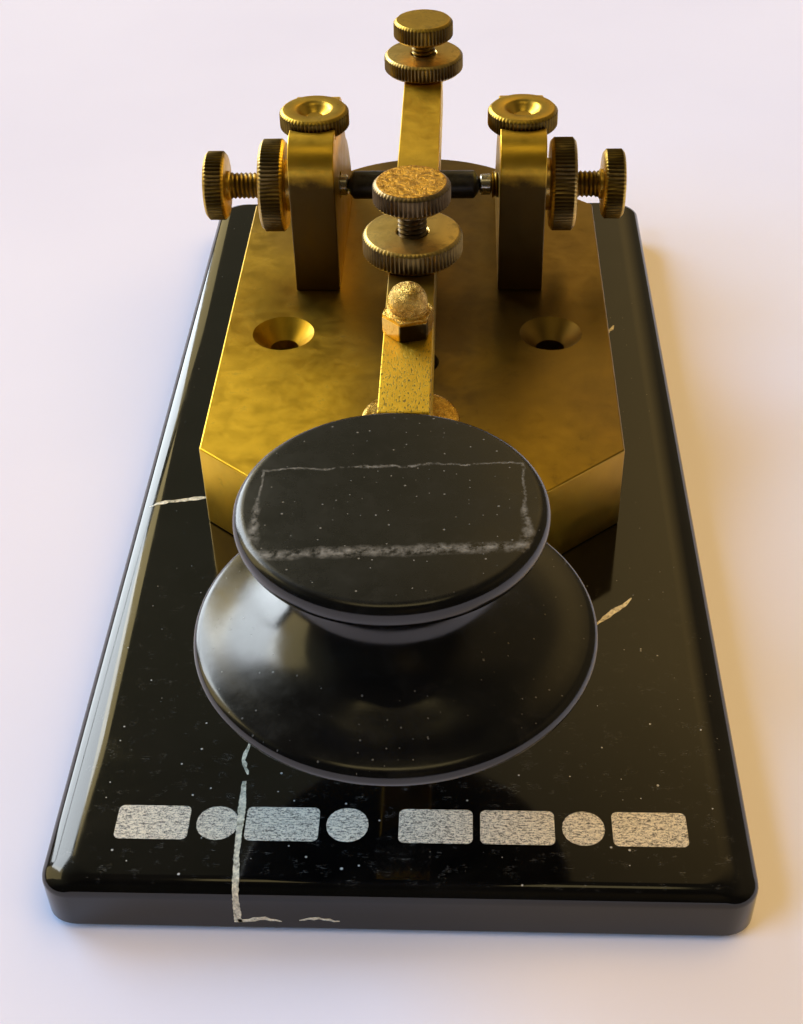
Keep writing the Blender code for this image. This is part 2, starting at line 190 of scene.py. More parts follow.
def arc(centre, radius, start, end, count):
    """Points round a circle, from one angle in degrees to another."""
    angles = [math.radians(start + (end - start) * i / count) for i in range(count + 1)]
    x, y = centre
    return [(x + radius * math.cos(a), y + radius * math.sin(a)) for a in angles]


SHARP = 28.0  # degrees between faces that meet at a bevelled edge
AXES = {
    "Z": Matrix.Identity(4),
    "X": Matrix.Rotation(math.radians(90), 4, "Y"),
    "-X": Matrix.Rotation(math.radians(-90), 4, "Y"),
}


def linked(name, data):
    obj = bpy.data.objects.new(name, data)
    bpy.context.scene.collection.objects.link(obj)
    return obj


def make(name, shape, look, at=(0, 0, 0), along="Z", angle=32.0):
    """An object from a Shape, at a place in millimetres, shaded by angle."""
    mesh = bpy.data.meshes.new(name)
    mesh.from_pydata([Vector(p) * MM for p in shape.points], [], shape.faces)
    values = mesh.attributes.new("groove", "FLOAT", "POINT")
    values.data.foreach_set("value", shape.groove)
    mesh.materials.append(look)
    mesh.shade_smooth()
    mesh.set_sharp_from_angle(angle=math.radians(angle))
    obj = linked(name, mesh)
    obj.matrix_world = Matrix.Translation(Vector(at) * MM) @ AXES[along]
    return obj


def stand_for(obj, body, *replaced, slot):
    """Puts a piece on a body, in the place of the CAD nodes that it replaces."""
    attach(obj, body)
    if replaced:
        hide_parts(*replaced)


def fit(name, shape, look, at, body, node, slot, along="Z"):
    stand_for(make(name, shape, look, at, along), body, node, slot=slot)


def slice_of(outline, high, low, centre=(0, 0)):
    """The points and faces of a flat outline with a thickness."""
    count = len(outline)
    points = [(centre[0] + x, centre[1] + y, z) for z in (high, low) for x, y in outline]
    faces = [tuple(range(count)), tuple(range(2 * count - 1, count - 1, -1))]
    for i in range(count):
        k = (i + 1) % count
        faces.append((i, i + count, k + count, k))
    return points, faces


def extruded(name, outline, depth, look, at, turn, edge, cutters):
    """A flat outline with a thickness, softened edges, and holes cut in it."""
    points, faces = slice_of(outline, depth / 2, -depth / 2)
    mesh = bpy.data.meshes.new(name)
    mesh.from_pydata([Vector(p) * MM for p in points], [], faces)
    mesh.materials.append(look)
    obj = linked(name, mesh)
    spin = [Matrix.Rotation(math.radians(v), 4, a) for v, a in zip(turn, "XYZ")]
    obj.matrix_world = Matrix.Translation(Vector(at) * MM) @ spin[2] @ spin[1] @ spin[0]
    bevel = obj.modifiers.new("Edge", "BEVEL")
    bevel.width = edge * MM
    bevel.segments = 3
    bevel.limit_method = "ANGLE"
    bevel.angle_limit = math.radians(SHARP)
    return carved(obj, cutters, SHARP)


def carved(obj, cutters, angle):
    """Cuts the holes, makes the modifiers real and keeps flat faces flat when shaded."""
    for cutter in cutters:
        bore = obj.modifiers.new("Hole", "BOOLEAN")
        bore.operation = "DIFFERENCE"
        bore.solver = "EXACT"
        bore.object = cutter
    bpy.context.view_layer.update()
    graph = bpy.context.evaluated_depsgraph_get()
    mesh = bpy.data.meshes.new_from_object(obj.evaluated_get(graph))
    obj.modifiers.clear()
    obj.data = mesh
    mesh.shade_smooth()
    mesh.set_sharp_from_angle(angle=math.radians(angle))
    even = obj.modifiers.new("Normals", "WEIGHTED_NORMAL")
    even.keep_sharp = True
    even.weight = 90
    for cutter in cutters:
        bpy.data.objects.remove(cutter)
    return obj


def hole(profile, at, along="Z"):
    """A round cutter: (radius, height) down its outer side."""
    look = bpy.data.materials.get("cut") or bpy.data.materials.new("cut")
    closed = [(0.0, profile[0][1]), *profile, (0.0, profile[-1][1])]
    return make("cutter", Shape().turn(closed, 64), look, at, along)


# --------------------------------------------------------------- materials
def new_material(name, metallic=0.0, roughness=0.5):
    made = bpy.data.materials.new(name)
    made.use_nodes = True
    shader = made.node_tree.nodes["Principled BSDF"]
    shader.inputs["Metallic"].default_value = metallic
    shader.inputs["Roughness"].default_value = roughness
    return made, made.node_tree, shader


def add(tree, kind, values=None, **settings):
    node = tree.nodes.new("ShaderNode" + kind)
    for key, value in settings.items():
        setattr(node, key, value)
    for key, value in (values or {}).items():
        if isinstance(value, bpy.types.NodeSocket):
            tree.links.new(value, node.inputs[key])
        else:
            node.inputs[key].default_value = value
    return node


def place(tree, stretch=(1, 1, 1)):
    """Object coordinates in millimetres, stretched along each axis."""
    where = add(tree, "TexCoord").outputs["Object"]
    scale = tuple(1000 * s for s in stretch)
    return add(tree, "VectorMath", {0: where, 1: scale}, operation="MULTIPLY").outputs[0]


def noise(tree, where, scale, detail=4.0, rough=0.6, distortion=0.0):
    values = {"Vector": where, "Scale": scale, "Detail": detail, "Roughness": rough}
    values["Distortion"] = distortion
    return add(tree, "TexNoise", values).outputs["Fac"]


def band(tree, value, low, high, to_low=0.0, to_high=1.0):
    values = {"Value": value, "From Min": low, "From Max": high}
    values.update({"To Min": to_low, "To Max": to_high})
    return add(tree, "MapRange", values).outputs["Result"]


def calc(operation):
    """A function that adds one Math node and gives its result."""

    def node(tree, a, b=0.0):
        return add(tree, "Math", {0: a, 1: b}, operation=operation).outputs[0]

    return node


times, plus, minus, over = map(calc, ("MULTIPLY", "ADD", "SUBTRACT", "DIVIDE"))
most, size_of = calc("MAXIMUM"), calc("ABSOLUTE")


def mix(tree, share, a, b):
    node = add(tree, "Mix", data_type="RGBA")
    for socket, value in ((node.inputs[0], share), (node.inputs[6], a), (node.inputs[7], b)):
        if isinstance(value, bpy.types.NodeSocket):
            tree.links.new(value, socket)
        else:
            socket.default_value = value if isinstance(value, float) else (*value, 1.0)
    return node.outputs[2]


def bump(tree, shader, height, depth, strength, before=None):
    """Texture `depth` mm deep, on top of what `before` gives."""
    values = {"Height": height, "Distance": depth * MM, "Strength": strength}
    if before:
        values["Normal"] = before
    made = add(tree, "Bump", values).outputs["Normal"]
    tree.links.new(made, shader.inputs["Normal"])
    return made


def axis_of(tree, where, letter):
    return add(tree, "SeparateXYZ", {0: where}).outputs[letter]


def flecks(tree, where, scale, rarest, largest, thin=None):
    """Round specks in plan. A cell's own random colour picks whether it has one."""
    values = {"Vector": where, "Scale": scale}
    cells = add(tree, "TexVoronoi", values, feature="F1", voronoi_dimensions="2D")
    pick = axis_of(tree, cells.outputs["Color"], "X")
    size = band(tree, pick, rarest, 1.0, 0.0, largest)
    if thin:
        size = times(tree, size, thin)
    return band(tree, minus(tree, size, cells.outputs["Distance"]), 0.0, 0.03)


def paint(tree, shader, colour, rough=None):
    tree.links.new(colour, shader.inputs["Base Color"])
    if rough:
        tree.links.new(rough, shader.inputs["Roughness"])


# Colours of brass: rubbed, dull, and tarnished
PLATE_COLOURS = ((0.92, 0.585, 0.04), (0.68, 0.415, 0.028), (0.22, 0.138, 0.03))
LEVER_COLOURS = ((1.0, 0.66, 0.06), *PLATE_COLOURS[1:])
POST_COLOURS = ((1.0, 0.65, 0.07), (0.86, 0.53, 0.05), PLATE_COLOURS[2])
NUT_COLOURS = ((0.88, 0.63, 0.20), (0.58, 0.40, 0.13), (0.18, 0.12, 0.045))
SCREW_COLOURS = ((0.84, 0.56, 0.10), (0.56, 0.365, 0.07), (0.18, 0.115, 0.035))
CLAMP_COLOURS = ((0.88, 0.58, 0.09), (0.60, 0.385, 0.06), (0.20, 0.125, 0.03))
SPRING_COLOURS = ((0.50, 0.36, 0.17), (0.34, 0.25, 0.13), (0.15, 0.105, 0.055))
CRUST_COLOURS = ((1.0, 0.76, 0.26), (0.95, 0.55, 0.07), (0.40, 0.20, 0.03))
BLACKISH = (0.035, 0.022, 0.012)
EVEN = (1, 1, 1)


def brass(name, colours, wear, grain, rough, spots):
    """Handled brass: bright where rubbed, browner where not, with fine machining lines.

    `wear` is how much of it is untarnished, `grain` how its lines run along
    each axis, and `spots` how many dark spots it has.
    """
    bright, dull, tarnish = colours
    made, tree, shader = new_material(name, 1.0, rough)
    where = place(tree)
    cloud = noise(tree, where, 0.055, 5.0, 0.62, 0.6)
    patch = noise(tree, where, 0.33, 6.0, 0.68, 0.3)
    speck = noise(tree, where, 2.6, 3.0, 0.7)
    lines = noise(tree, place(tree, grain), 1.0, 5.0, 0.7)
    colour = mix(tree, band(tree, cloud, 0.38, 0.66), bright, dull)
    tarnished = band(tree, patch, wear, wear + 0.22)
    colour = mix(tree, times(tree, tarnished, 0.75), colour, tarnish)
    dark = band(tree, speck, 1.0 - spots, 1.04 - spots)
    colour = mix(tree, times(tree, dark, 0.55), colour, BLACKISH)
    # Knurls and threads are darkened by their groove values: painted shade in their hollows, with
    # dirt on the knurls.
    groove = add(tree, "Attribute", attribute_name="groove").outputs["Fac"]
    colour = mix(tree, times(tree, groove, 0.93), colour, BLACKISH)
    uneven = band(tree, patch, 0.3, 0.75, rough - 0.07, rough + 0.13)
    paint(tree, shader, colour, plus(tree, uneven, times(tree, lines, 0.06)))
    fine = bump(tree, shader, lines, 0.012, 0.55)
    bump(tree, shader, speck, 0.02, 0.35, fine)
    return made, tree, shader, colour, fine


def plate_brass():
    """The plate: satin, yellow on the left, with painted shade that makes it browner behind and to
    the right, and a painted dark reflection of the lever in its middle.
    """
    made, tree, shader, colour, _ = brass(
        "plate_brass", PLATE_COLOURS, wear=0.60, grain=(0.25, 5, 5), rough=0.34, spots=0.20
    )
    where = place(tree)
    y = axis_of(tree, where, "Y")
    x = axis_of(tree, where, "X")
    # Painted shade: the plate is darkened to the right and behind, as the light falls on it.
    drift = times(tree, noise(tree, where, 0.06, 3.0), 26.0)
    slant = plus(tree, plus(tree, y, times(tree, x, 1.2)), drift)
    colour = mix(tree, band(tree, slant, -8.0, 40.0, 0.0, 0.8), colour, (0.25, 0.155, 0.05))
    # Painted dark reflection of the lever, on the plate just right of it.
    lever_reflection_blot = noise(tree, where, 0.09, 4.0, 0.6, 0.5)
    out = size_of(tree, minus(tree, x, 3.0))
    middle = times(tree, band(tree, out, 17.0, 5.0), band(tree, y, -24.0, -4.0))
    middle = times(tree, middle, band(tree, lever_reflection_blot, 0.3, 0.6, 0.45, 0.85))
    colour = mix(tree, middle, colour, (0.12, 0.078, 0.035))
    paint(tree, shader, colour)
    return made


def lever_brass():
    """The lever: long scratches, and rows of dark pits near the knob. It lies along its own X."""
    made, tree, shader, colour, fine = brass(
        "lever_brass", LEVER_COLOURS, wear=0.64, grain=(0.25, 4, 6), rough=0.44, spots=0.27
    )
    where = place(tree)
    y = axis_of(tree, where, "X")
    pits = noise(tree, place(tree, (1.2, 1.0, 4.6)), 1.0, 3.0, 0.75)
    near = times(tree, band(tree, y, -15.0, -24.0), band(tree, y, -39.0, -36.0))
    hit = times(tree, band(tree, pits, 0.555, 0.59), near)
    colour = mix(tree, times(tree, hit, 0.92), colour, BLACKISH)
    shade = times(tree, band(tree, y, -18.0, -4.0), band(tree, y, 36.0, 14.0))
    colour = mix(tree, times(tree, shade, 0.75), colour, (0.10, 0.066, 0.03))
    paint(tree, shader, colour)
    bump(tree, shader, minus(tree, 1.0, hit), 0.06, 0.8, fine)
    return made


def post_brass():
    """The posts: bright at the top, dark brown towards the plate. Their own Y is up."""
    made, tree, shader, colour, _ = brass(
        "post_brass", POST_COLOURS, wear=0.64, grain=(0.3, 0.3, 4), rough=0.36, spots=0.27
    )
    where = place(tree)
    sway = times(tree, noise(tree, where, 0.3, 3.0), 4.0)
    up = plus(tree, axis_of(tree, where, "Y"), sway)
    front = band(tree, axis_of(tree, where, "X"), 26.5, 24.6, 0.55, 0.95)
    low = times(tree, band(tree, up, 43.6, 40.4), front)
    colour = mix(tree, low, colour, (0.060, 0.040, 0.018))
    paint(tree, shader, colour)
    return made


def crusty_brass(name, depth, smooth_below):
    """Bright brass with a rough, pitted skin, and below it smooth flats, one of them painted dark
    as a reflection.
    """
    made, tree, shader, colour, fine = brass(
        name, CRUST_COLOURS, wear=0.52, grain=EVEN, rough=0.2, spots=0.32
    )
    where = place(tree)
    x, y, z = (axis_of(tree, where, letter) for letter in "XYZ")
    crust = noise(tree, where, 1.1, 6.0, 0.78, 0.8)
    skin = band(tree, z, smooth_below, smooth_below + 0.3)
    stained = band(tree, crust, 0.44, 0.60)
    stained = times(tree, stained, band(tree, skin, 0.0, 1.0, 0.25, 0.85))
    colour = mix(tree, stained, colour, (0.48, 0.24, 0.02))
    # Painted dark reflection on one flat, at the front left, below the skin.
    flat = times(tree, band(tree, x, -1.15, -0.95), band(tree, y, -1.4, -1.7))
    flat = times(tree, flat, band(tree, z, smooth_below, smooth_below - 0.2))
    colour = mix(tree, times(tree, flat, 0.95), colour, (0.02, 0.015, 0.008))
    paint(tree, shader, colour)
    bump(tree, shader, times(tree, crust, skin), depth, 0.9, fine)
    return made


def spring_head_brass():
    """A screw whose rim is greyed by wear, and whose face is amber and pitted."""
    made, tree, shader, colour, fine = brass(
        "spring_screw_brass", SPRING_COLOURS, wear=0.5, grain=EVEN, rough=0.3, spots=0.3
    )
    where = place(tree)
    z = axis_of(tree, where, "Z")
    face = band(tree, z, SPRING_HEAD - 0.07, SPRING_HEAD - 0.03)
    crust = noise(tree, where, 1.1, 6.0, 0.75, 0.9)
    amber = mix(tree, band(tree, crust, 0.4, 0.62), (0.86, 0.43, 0.035), (0.36, 0.16, 0.015))
    colour = mix(tree, face, colour, amber)
    paint(tree, shader, colour)
    bump(tree, shader, times(tree, crust, face), 0.35, 0.9, fine)
    return made


def marble():
    """Polished black marble, with dust and fine scratches on its top, most in front."""
    made, tree, shader = new_material("black_marble", 0.0, 0.07)
    shader.inputs["IOR"].default_value = 1.52
    where = place(tree)
    cloud = noise(tree, where, 0.05, 6.0, 0.6, 1.5)
    black, brown_black = (0.0012, 0.0011, 0.0011), (0.0045, 0.004, 0.0033)
    colour = mix(tree, band(tree, cloud, 0.35, 0.75), black, brown_black)
    y, z = axis_of(tree, where, "Y"), axis_of(tree, where, "Z")
    top = band(tree, z, SLAB_TOP - 0.4, SLAB_TOP - 0.1)
    near = band(tree, y, -20.0, -72.0)
    dust = flecks(tree, where, 0.5, 0.80, 0.10, band(tree, near, 0.0, 1.0, 0.4, 1.0))
    hairs = noise(tree, place(tree, (0.16, 1.3, 1)), 1.0, 2.0, 0.5, 4.0)
    line = band(tree, size_of(tree, minus(tree, hairs, 0.5)), 0.009, 0.002)
    rare = times(tree, band(tree, noise(tree, where, 0.5, 2.0), 0.56, 0.64), near)
    scratches = times(tree, times(tree, line, rare), 0.3)
    marks = times(tree, most(tree, times(tree, dust, 0.8), scratches), top)
    colour = mix(tree, marks, colour, (0.52, 0.50, 0.44))
    smear = band(tree, noise(tree, where, 0.12, 5.0, 0.65), 0.4, 0.75, 0.05, 0.13)
    paint(tree, shader, colour, plus(tree, smear, times(tree, marks, 0.5)))
    return made


def vein():
    """Chalky stone, from cream to a sandy brown."""
    made, tree, shader = new_material("marble_vein", 0.0, 0.3)
    where = place(tree)
    chalk = noise(tree, where, 1.7, 5.0, 0.7)
    colour = mix(tree, band(tree, chalk, 0.36, 0.62), (0.30, 0.26, 0.17), (0.95, 0.85, 0.60))
    paint(tree, shader, colour, band(tree, chalk, 0.3, 0.7, 0.2, 0.5))
    bump(tree, shader, chalk, 0.02, 0.5)
    return made


def etched():
    """Stone frosted by an engraving tool: pale, with dark flecks between strokes."""
    made, tree, shader = new_material("etched_marble", 0.0, 0.7)
    where = place(tree)
    strokes = noise(tree, place(tree, (1.5, 4.2, 1)), 1.0, 4.0, 0.8, 0.6)
    grain = noise(tree, where, 5.0, 3.0, 0.8)
    both = plus(tree, times(tree, strokes, 0.6), times(tree, grain, 0.4))
    colour = mix(tree, band(tree, both, 0.43, 0.53), (0.08, 0.072, 0.055), (0.84, 0.75, 0.56))
    paint(tree, shader, colour, band(tree, both, 0.4, 0.6, 0.45, 0.8))
    bump(tree, shader, both, 0.05, 0.7)
    return made


SCUFF_HALF_X, SCUFF_HALF_Y, SCUFF_Y = 13.3, 6.6, -63.6


def bakelite():
    """A black moulding, glossy but handled: a scuffed frame and dust on its top."""
    made, tree, shader = new_material("knob_bakelite", 0.0, 0.2)
    shader.inputs["IOR"].default_value = 1.56
    where = place(tree)
    wobble = noise(tree, where, 0.35, 4.0, 0.7)
    x, y, z = (axis_of(tree, where, letter) for letter in "XYZ")
    on_top = band(tree, z, KNOB_TOP - 0.15, KNOB_TOP - 0.05)
    slant = plus(tree, y, times(tree, x, -0.06))
    shift = times(tree, minus(tree, wobble, 0.5), 1.6)
    side = minus(tree, size_of(tree, x), SCUFF_HALF_X)
    ends = minus(tree, size_of(tree, minus(tree, slant, SCUFF_Y)), SCUFF_HALF_Y)
    edge = plus(tree, most(tree, side, ends), shift)
    front = band(tree, y, -62.0, -69.0)
    width = plus(tree, times(tree, front, 0.75), 0.2)
    ring = band(tree, over(tree, size_of(tree, edge), width), 1.0, 0.1)
    broken = band(tree, noise(tree, where, 0.9, 5.0, 0.75), 0.40, 0.66)
    scuff = times(tree, times(tree, ring, broken), on_top)
    haze = times(tree, band(tree, noise(tree, where, 0.28, 6.0, 0.75, 0.6), 0.52, 0.8), 0.02)
    level = most(tree, on_top, times(tree, band(tree, z, 37.0, 35.5), 0.45))
    dust = times(tree, flecks(tree, where, 0.75, 0.62, 0.105), level)
    marks = most(tree, times(tree, scuff, 0.62), times(tree, dust, 0.45))
    marks = most(tree, marks, haze)
    colour = mix(tree, marks, (0.0016, 0.0016, 0.0018), (0.36, 0.33, 0.27))
    worn = band(tree, noise(tree, where, 0.2, 6.0, 0.7), 0.35, 0.75, 0.13, 0.26)
    worn = plus(tree, worn, times(tree, on_top, 0.1))
    paint(tree, shader, colour, plus(tree, worn, times(tree, marks, 0.4)))
    bump(tree, shader, noise(tree, where, 0.7, 4.0, 0.7), 0.01, 0.35)
    return made


def plain(name, colour, second, metallic, rough, scale=1.2, depth=0.01):
    """A simple finish with uneven colour, roughness and a little texture."""
    made, tree, shader = new_material(name, metallic, rough)
    where = place(tree)
    patch = noise(tree, where, scale, 5.0, 0.65)
    both = mix(tree, band(tree, patch, 0.35, 0.68), colour, second)
    paint(tree, shader, both, band(tree, patch, 0.3, 0.7, rough * 0.8, rough * 1.25))
    bump(tree, shader, patch, depth, 0.5)
    return made


def paper():
    """The pale matt sheet that the key stands on."""
    made, tree, shader = new_material("paper", 0.0, 0.9)
    shader.inputs["Specular IOR Level"].default_value = 0.15
    where = place(tree)
    shade = noise(tree, where, 0.012, 3.0, 0.5)
    colour = mix(tree, band(tree, shade, 0.35, 0.7), (0.83, 0.80, 0.86), (0.87, 0.84, 0.89))
    paint(tree, shader, colour)
    fibre = noise(tree, where, 1.5, 6.0, 0.7)
    bump(tree, shader, fibre, 0.03, 0.1)
    return made


PLATE_BRASS, LEVER_BRASS, POST_BRASS = plate_brass(), lever_brass(), post_brass()
NUT_BRASS = brass("nut_brass", NUT_COLOURS, wear=0.52, grain=EVEN, rough=0.32, spots=0.3)[0]
SCREW_BRASS = brass("screw_brass", SCREW_COLOURS, wear=0.5, grain=EVEN, rough=0.34, spots=0.3)[0]
CLAMP_BRASS = brass("clamp_brass", CLAMP_COLOURS, wear=0.55, grain=EVEN, rough=0.3, spots=0.28)[0]
SPRING_BRASS = spring_head_brass()
ACORN_BRASS = crusty_brass("acorn_brass", 0.34, ACORN_FLATS_TOP)
ANVIL_BRASS = crusty_brass("anvil_brass", 0.0748, PLATE_TOP)
MARBLE, VEIN, ETCHED, BAKELITE, PAPER = marble(), vein(), etched(), bakelite(), paper()
STEEL = plain("bright_steel", (0.62, 0.60, 0.56), (0.36, 0.34, 0.31), 1.0, 0.26)
BLACK_STEEL = plain("blackened_steel", (0.012, 0.012, 0.013), (0.03, 0.03, 0.032), 0.35, 0.36)
SILVER = plain("silver", (0.80, 0.78, 0.74), (0.5, 0.48, 0.45), 1.0, 0.25)
FIBRE = plain("fibre", (0.05, 0.028, 0.018), (0.09, 0.05, 0.03), 0.0, 0.6, 0.8, 0.03)
RUBBER = plain("rubber", (0.02, 0.02, 0.02), (0.045, 0.043, 0.04), 0.0, 0.85, 0.9, 0.04)


# ---------------------------------------------------- the slab and the plate
def rounded_rectangle(half_x, half_y, radius, count=8):
    points = []
    for sx, sy, start in ((1, 1, 0), (-1, 1, 90), (-1, -1, 180), (1, -1, 270)):
        centre = (sx * (half_x - radius), sy * (half_y - radius))
        points += arc(centre, radius, start, start + 90, count)
    return points


SIDE_ROUNDING = 2.2  # the long edges are polished over a wider curve than the short ones
SLAB_CORNER = 3.6


def slab_shape():
    """The slab as nested outlines, from the rim of its flat top down its sides."""
    edge = SLAB_EDGE
    angles = [math.pi / 2 * i / 8 for i in range(9)]
    levels = [(edge - edge * math.sin(a), SLAB_TOP - edge + edge * math.cos(a)) for a in angles]
    levels += [(0.0, SLAB_BOTTOM + 0.4), (0.12, SLAB_BOTTOM + 0.12), (0.4, SLAB_BOTTOM)]
    points, faces = [], []
    for inset, z in levels:
        half_x, half_y = SLAB_X - SIDE_ROUNDING * inset, SLAB_Y - inset
        outline = rounded_rectangle(half_x, half_y, SLAB_CORNER - 0.5 * inset)
        points += [(x, y, z) for x, y in outline]
    count = len(points) // len(levels)
    for i in range(len(levels) - 1):
        for j in range(count):
            k = (j + 1) % count
            a, b = i * count, (i + 1) * count
            faces.append((a + j, b + j, b + k, a + k))
    faces.append(tuple(range(count)))
    last = (len(levels) - 1) * count
    faces.append(tuple(last + count - 1 - j for j in range(count)))
    return Shape().add(points, faces)


slab = make("marble_slab", slab_shape(), MARBLE)
foot_hole = [(2.4, 10.0), (2.4, 4.2), (4.6, 4.2), (4.6, -1.0)]
carved(slab, [hole(foot_hole, (0, y, 0)) for y in FOOT_SCREWS], 40.0)
stand_for(slab, "base", "marble_base", slot="marble")

BEND = SLAB_EDGE * math.pi / 2


def on_slab(x, along, lift):
    """A point `lift` mm off the slab, `along` mm up its front and back over its top.

    `along` is 0 where the front face starts to round over into the top.
    """
    radius = SLAB_EDGE + lift
    if along >= BEND:
        wide = SIDE_ROUNDING * SLAB_EDGE
        reach = min(0.97, max(0.0, (abs(x) - SLAB_X + wide) / wide))
        drop = SLAB_EDGE * (1 - math.sqrt(1 - reach * reach))
        return (x, -SLAB_Y + SLAB_EDGE + along - BEND, SLAB_TOP + lift - drop)
    if along <= 0:
        return (x, -SLAB_Y - lift, SLAB_TOP - SLAB_EDGE + along)
    angle = along / SLAB_EDGE
    y = -SLAB_Y + SLAB_EDGE - radius * math.cos(angle)
    return (x, y, SLAB_TOP - SLAB_EDGE + radius * math.sin(angle))


SKIN = -0.06  # how deep the veins and marks are let into the slab


def ribbon(shape, path, widths, steps=5, ragged=1.0):
    """A thin closed strip let into the slab's skin along (x, `along`) points."""
    line = []
    for i in range(len(path) - 1):
        span = math.hypot(path[i + 1][0] - path[i][0], path[i + 1][1] - path[i][1])
        parts = max(2, round(span * steps / 3))
        for j in range(parts):
            t = j / parts
            x = path[i][0] * (1 - t) + path[i + 1][0] * t
            s = path[i][1] * (1 - t) + path[i + 1][1] * t
            width = widths[i] * (1 - t) + widths[i + 1] * t
            line.append((x, s, width))
    line.append((*path[-1], widths[-1]))
    left, right = [], []
    for i, (x, s, width) in enumerate(line):
        before, after = line[max(0, i - 1)], line[min(len(line) - 1, i + 1)]
        dx, ds = after[0] - before[0], after[1] - before[1]
        size = math.hypot(dx, ds) or 1.0
        nx, ns = -ds / size, dx / size
        drift = random.uniform(-0.11, 0.11) * ragged
        wide = max(0.03, width / 2 * (1 + random.uniform(-0.4, 0.35) * ragged))
        x, s = x + nx * drift, s + ns * drift
        left.append((x + nx * wide, s + ns * wide))
        right.append((x - nx * wide, s - ns * wide))
    count = len(line)
    points = []
    for lift in (0.016, SKIN):
        points += [on_slab(x, s, lift) for x, s in left + right]
    low = 2 * count
    faces = []
    for i in range(count - 1):
        l, r = i, count + i
        faces.append((l, l + 1, r + 1, r))
        faces.append((low + l, low + r, low + r + 1, low + l + 1))
        faces.append((l, low + l, low + l + 1, l + 1))
        faces.append((r, r + 1, low + r + 1, low + r))
    for i in (0, count - 1):
        side = (i, count + i, low + count + i, low + i)
        faces.append(side if i == 0 else side[::-1])
    shape.add(points, faces)


def on_top(*places):
    """Points on the slab's flat top, from (x, y), as a path for a ribbon."""
    return [(x, y + SLAB_Y - SLAB_EDGE + BEND) for x, y in places]


veins = Shape()
ribbon(veins, on_top((-18.3, -58.3), (-18.7, -61.4), (-18.0, -63.6)), [0.35, 0.6, 0.2])
main_vein = on_top((-18.3, -64.6), (-18.1, -68.5), (-18.0, -72.0), (-17.9, -75.5))
main_vein += [(-17.6, 3.0), (-17.6, 0.6), (-17.7, -3.9)]
ribbon(veins, main_vein, [0.5, 0.9, 0.7, 0.6, 0.8, 0.7, 0.9], 12, 0.3)
for path, widths in (
    ([(-17.7, -3.7), (-14.6, -3.1), (-12.8, -3.7)], [0.75, 0.5, 0.15]),
    ([(-10.8, -3.3), (-8.6, -2.9), (-6.3, -3.5)], [0.15, 0.5, 0.15]),
    (
        on_top((-38.3, -13.3), (-36.0, -12.7), (-33.2, -12.1), (-29.2, -11.4)),
        [0.15, 0.65, 0.6, 0.8],
    ),
    (on_top((24.6, -37.6), (26.6, -35.4), (28.5, -33.9), (29.6, -32.4)), [0.2, 0.9, 0.6, 0.15]),
    (on_top((30.6, 32.0), (31.8, 33.8), (32.2, 35.0)), [0.2, 0.8, 0.2]),
):
    ribbon(veins, path, widths)
stand_for(make("marble_veins", veins, VEIN), "base", slot="marble")


# Long and short frosted marks in a row
ETCH_LOW, ETCH_HIGH, ETCH_START, ETCH_GAP, WORD_GAP = -73.2, -68.4, -32.3, 0.85, 2.6
MARK_LENGTH, MARK_CORNER = {"-": 8.4, ".": 4.8}, {"-": 0.7, ".": 2.3}
marks = Shape()
cursor = ETCH_START
for mark in "-.-. --.-":
    if mark == " ":
        cursor += WORD_GAP
        continue
    end = cursor + MARK_LENGTH[mark]
    half_x, half_y = (end - cursor) / 2, (ETCH_HIGH - ETCH_LOW) / 2
    middle = ((cursor + end) / 2, (ETCH_LOW + ETCH_HIGH) / 2)
    outline = rounded_rectangle(half_x, half_y, MARK_CORNER[mark], 5)
    marks.add(*slice_of(outline, SLAB_TOP + 0.012, SLAB_TOP + SKIN, middle))
    cursor = end + ETCH_GAP
stand_for(make("etched_marks", marks, ETCHED), "base", slot="marble")

SLOPE, END_RADIUS, HALF_WIDTH, SIDE_FRONT, SIDE_REAR = 40.0, 21.9, 29.0, -17.0, 53.0


def plate_outline():
    """Two arcs that join straight sides through slanted corners."""
    rise = HALF_WIDTH * math.tan(math.radians(SLOPE))
    inset = END_RADIUS / math.cos(math.radians(SLOPE))
    points = [(HALF_WIDTH, SIDE_FRONT), (HALF_WIDTH, SIDE_REAR)]
    points += arc((0, SIDE_REAR + rise - inset), END_RADIUS, 90 - SLOPE, 90 + SLOPE, 40)
    points += [(-HALF_WIDTH, SIDE_REAR), (-HALF_WIDTH, SIDE_FRONT)]
    points += arc((0, SIDE_FRONT - rise + inset), END_RADIUS, 270 - SLOPE, 270 + SLOPE, 40)
    return points


plate_cuts = []
terminal_hole = [(5.15, 14.0), (5.15, 13.5), (4.75, 13.05), (4.62, 12.9)]
terminal_hole += [(2.15, 10.35), (2.15, -1.0)]
post_screw_hole = [(WIDE_BORE, 22.0), (WIDE_BORE, 12.3), (3.9, 12.3), (3.9, 7.0)]
for sign in (-1, 1):
    plate_cuts.append(hole(terminal_hole, (sign * TERMINAL_X, TERMINAL_Y, PLATE_BOTTOM)))
    for y in POST_SCREWS:
        plate_cuts.append(hole(post_screw_hole, (sign * POST_X, y, 0)))
for y in FOOT_SCREWS:
    plate_cuts.append(hole([(BORE, 15.0), (BORE, 7.0)], (0, y, 0)))
contact_hole = [(3.55, 22.0), (3.55, 13.25), (6.5, 13.25), (6.5, 7.0)]
plate_cuts.append(hole(contact_hole, (0, CONTACT_Y, 0)))
plate_cuts.append(hole([(3.7, 22.0), (3.5, 20.8), (3.5, 17.0)], (0, SPRING_Y, 0)))
plate = extruded(
    "brass_plate",
    plate_outline(),
    PLATE_TOP - PLATE_BOTTOM,
    PLATE_BRASS,
    at=(0, 0, (PLATE_TOP + PLATE_BOTTOM) / 2),
    turn=(0, 0, 0),
    edge=0.28,
    cutters=plate_cuts,
)
stand_for(plate, "base", "base_plate", slot="brass")

